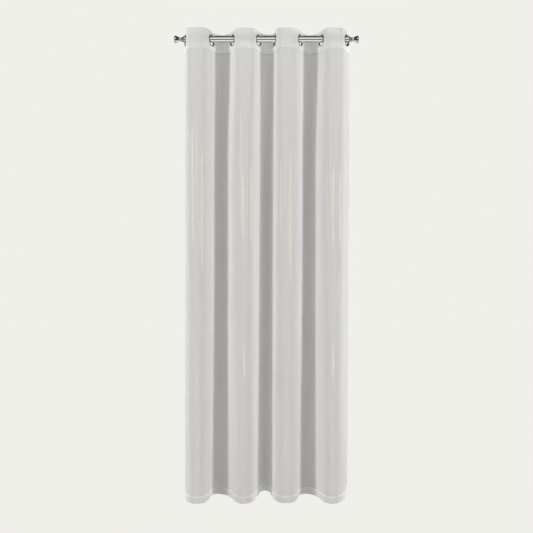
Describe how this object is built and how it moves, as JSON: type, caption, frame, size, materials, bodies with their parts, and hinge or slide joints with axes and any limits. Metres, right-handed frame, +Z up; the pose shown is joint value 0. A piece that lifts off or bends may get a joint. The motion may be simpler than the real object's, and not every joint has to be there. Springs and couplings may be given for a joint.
{
  "type": "sheer voile eyelet curtain on a rod",
  "caption": "Sheer voile curtain that hangs in deep soft folds from metal eyelets threaded on a round chrome rod with trumpet finials.",
  "frame": {"origin": "on the rod's axis, at the middle of the rod", "axes": "+Z up, +Y towards the wall, +X to the right as seen from the room"},
  "size_m": [0.981, 0.1552, 2.5],
  "materials": {
    "voile": "sheer plain-weave voile, matt with a faint vertical shimmer",
    "stiffened_voile": "doubled voile over a stiff tape, matt",
    "eyelet_chrome": "polished",
    "rod_chrome": "polished"
  },
  "bodies": {
    "root": {"voile_panel": "voile", "heading": "stiffened_voile", "eyelet_1_front": "eyelet_chrome", "eyelet_1_back": "eyelet_chrome", "eyelet_2_front": "eyelet_chrome", "eyelet_2_back": "eyelet_chrome", "eyelet_3_front": "eyelet_chrome", "eyelet_3_back": "eyelet_chrome", "eyelet_4_front": "eyelet_chrome", "eyelet_4_back": "eyelet_chrome", "eyelet_5_front": "eyelet_chrome", "eyelet_5_back": "eyelet_chrome", "eyelet_6_front": "eyelet_chrome", "eyelet_6_back": "eyelet_chrome", "eyelet_7_front": "eyelet_chrome", "eyelet_7_back": "eyelet_chrome", "eyelet_8_front": "eyelet_chrome", "eyelet_8_back": "eyelet_chrome", "rod": "rod_chrome", "finial_left": "rod_chrome", "finial_right": "rod_chrome"}
  },
  "joints": []
}
